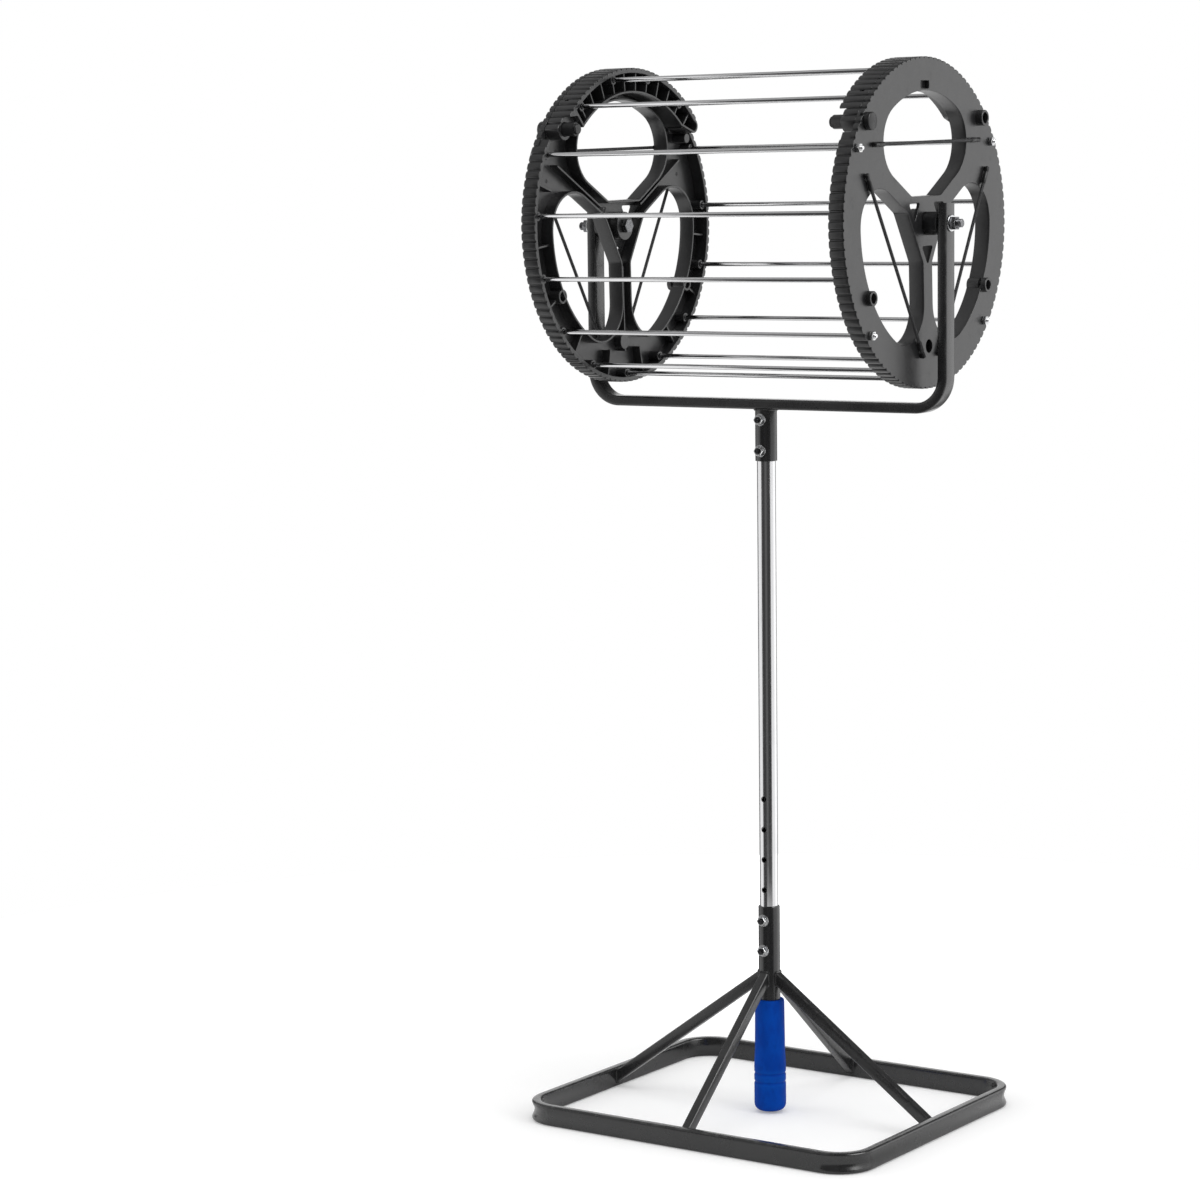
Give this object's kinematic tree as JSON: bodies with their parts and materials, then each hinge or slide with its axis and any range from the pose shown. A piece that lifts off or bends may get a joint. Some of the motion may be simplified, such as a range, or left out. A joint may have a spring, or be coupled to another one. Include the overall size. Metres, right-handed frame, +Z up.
{
  "type": "tennis ball hopper",
  "caption": "Rolling-drum tennis ball hopper: steel rods between toothed wheels with a hinged door, held in a yoke on a pole with a rounded rectangular base.",
  "frame": {"origin": "on the floor under the middle of the base ring", "axes": "+Z up, X along the drum's axle, -Y the side with the door's hinge"},
  "size_m": [0.4332, 0.331, 1.033],
  "materials": {
    "frame_paint": "satin black powder coat",
    "pole_steel": "drawn stainless tube",
    "rod_steel": "bright drawn rod",
    "zinc_steel": "zinc plated",
    "black_steel": "black oxide",
    "wheel_plastic": "fine moulded grain",
    "trim_plastic": "smooth moulded",
    "cord_rubber": "matt",
    "grip_rubber": "matt moulded"
  },
  "bodies": {
    "stand": {"base_ring": "frame_paint", "leg_front": "frame_paint", "leg_back": "frame_paint", "leg_left": "frame_paint", "leg_right": "frame_paint", "base_sleeve": "frame_paint", "pole": "pole_steel", "yoke_socket": "frame_paint", "yoke": "frame_paint", "grip": "grip_rubber", "base_bolt_lower": "black_steel", "base_bolt_upper": "black_steel", "base_nut_lower": "zinc_steel", "base_nut_upper": "zinc_steel", "socket_bolt_lower": "black_steel", "socket_bolt_upper": "black_steel", "socket_nut_lower": "zinc_steel", "socket_nut_upper": "zinc_steel", "axle_bolt_left": "black_steel", "axle_washer_left": "zinc_steel", "axle_nut_left": "black_steel", "hub_spacer_left": "trim_plastic", "axle_bolt_right": "black_steel", "axle_washer_right": "zinc_steel", "axle_nut_right": "black_steel", "hub_spacer_right": "trim_plastic"},
    "drum": {"wheel_left": "wheel_plastic", "wheel_right": "wheel_plastic", "rod_1": "rod_steel", "rod_2": "rod_steel", "rod_3": "rod_steel", "rod_4": "rod_steel", "rod_5": "rod_steel", "rod_6": "rod_steel", "rod_7": "rod_steel", "tie_rod_1": "rod_steel", "tie_rod_2": "rod_steel", "tie_rod_3": "rod_steel", "tie_rod_4": "rod_steel", "tie_nut_1": "zinc_steel", "tie_nut_2": "zinc_steel", "tie_nut_3": "zinc_steel", "tie_nut_4": "zinc_steel", "window_cord_left_1": "cord_rubber", "window_cord_left_2": "cord_rubber", "window_cord_left_3": "cord_rubber", "window_cord_right_1": "cord_rubber", "window_cord_right_2": "cord_rubber", "window_cord_right_3": "cord_rubber", "hinge_pin_left": "trim_plastic", "hinge_pin_right": "trim_plastic"},
    "door": {"door_end_left": "wheel_plastic", "door_end_right": "wheel_plastic", "door_rod_1": "rod_steel", "door_rod_2": "rod_steel", "door_rod_3": "rod_steel", "door_rod_4": "rod_steel"}
  },
  "joints": [
    {"name": "drum_spin", "type": "hinge", "parent": "stand", "child": "drum", "pos_m": [0, 0, 0.878], "axis": [1, 0, 0], "continuous": true},
    {"name": "door_hinge", "type": "hinge", "parent": "drum", "child": "door", "pos_m": [0, -0.11075, 0.97159], "axis": [1, 0, 0], "range_deg": [0, 120]}
  ]
}
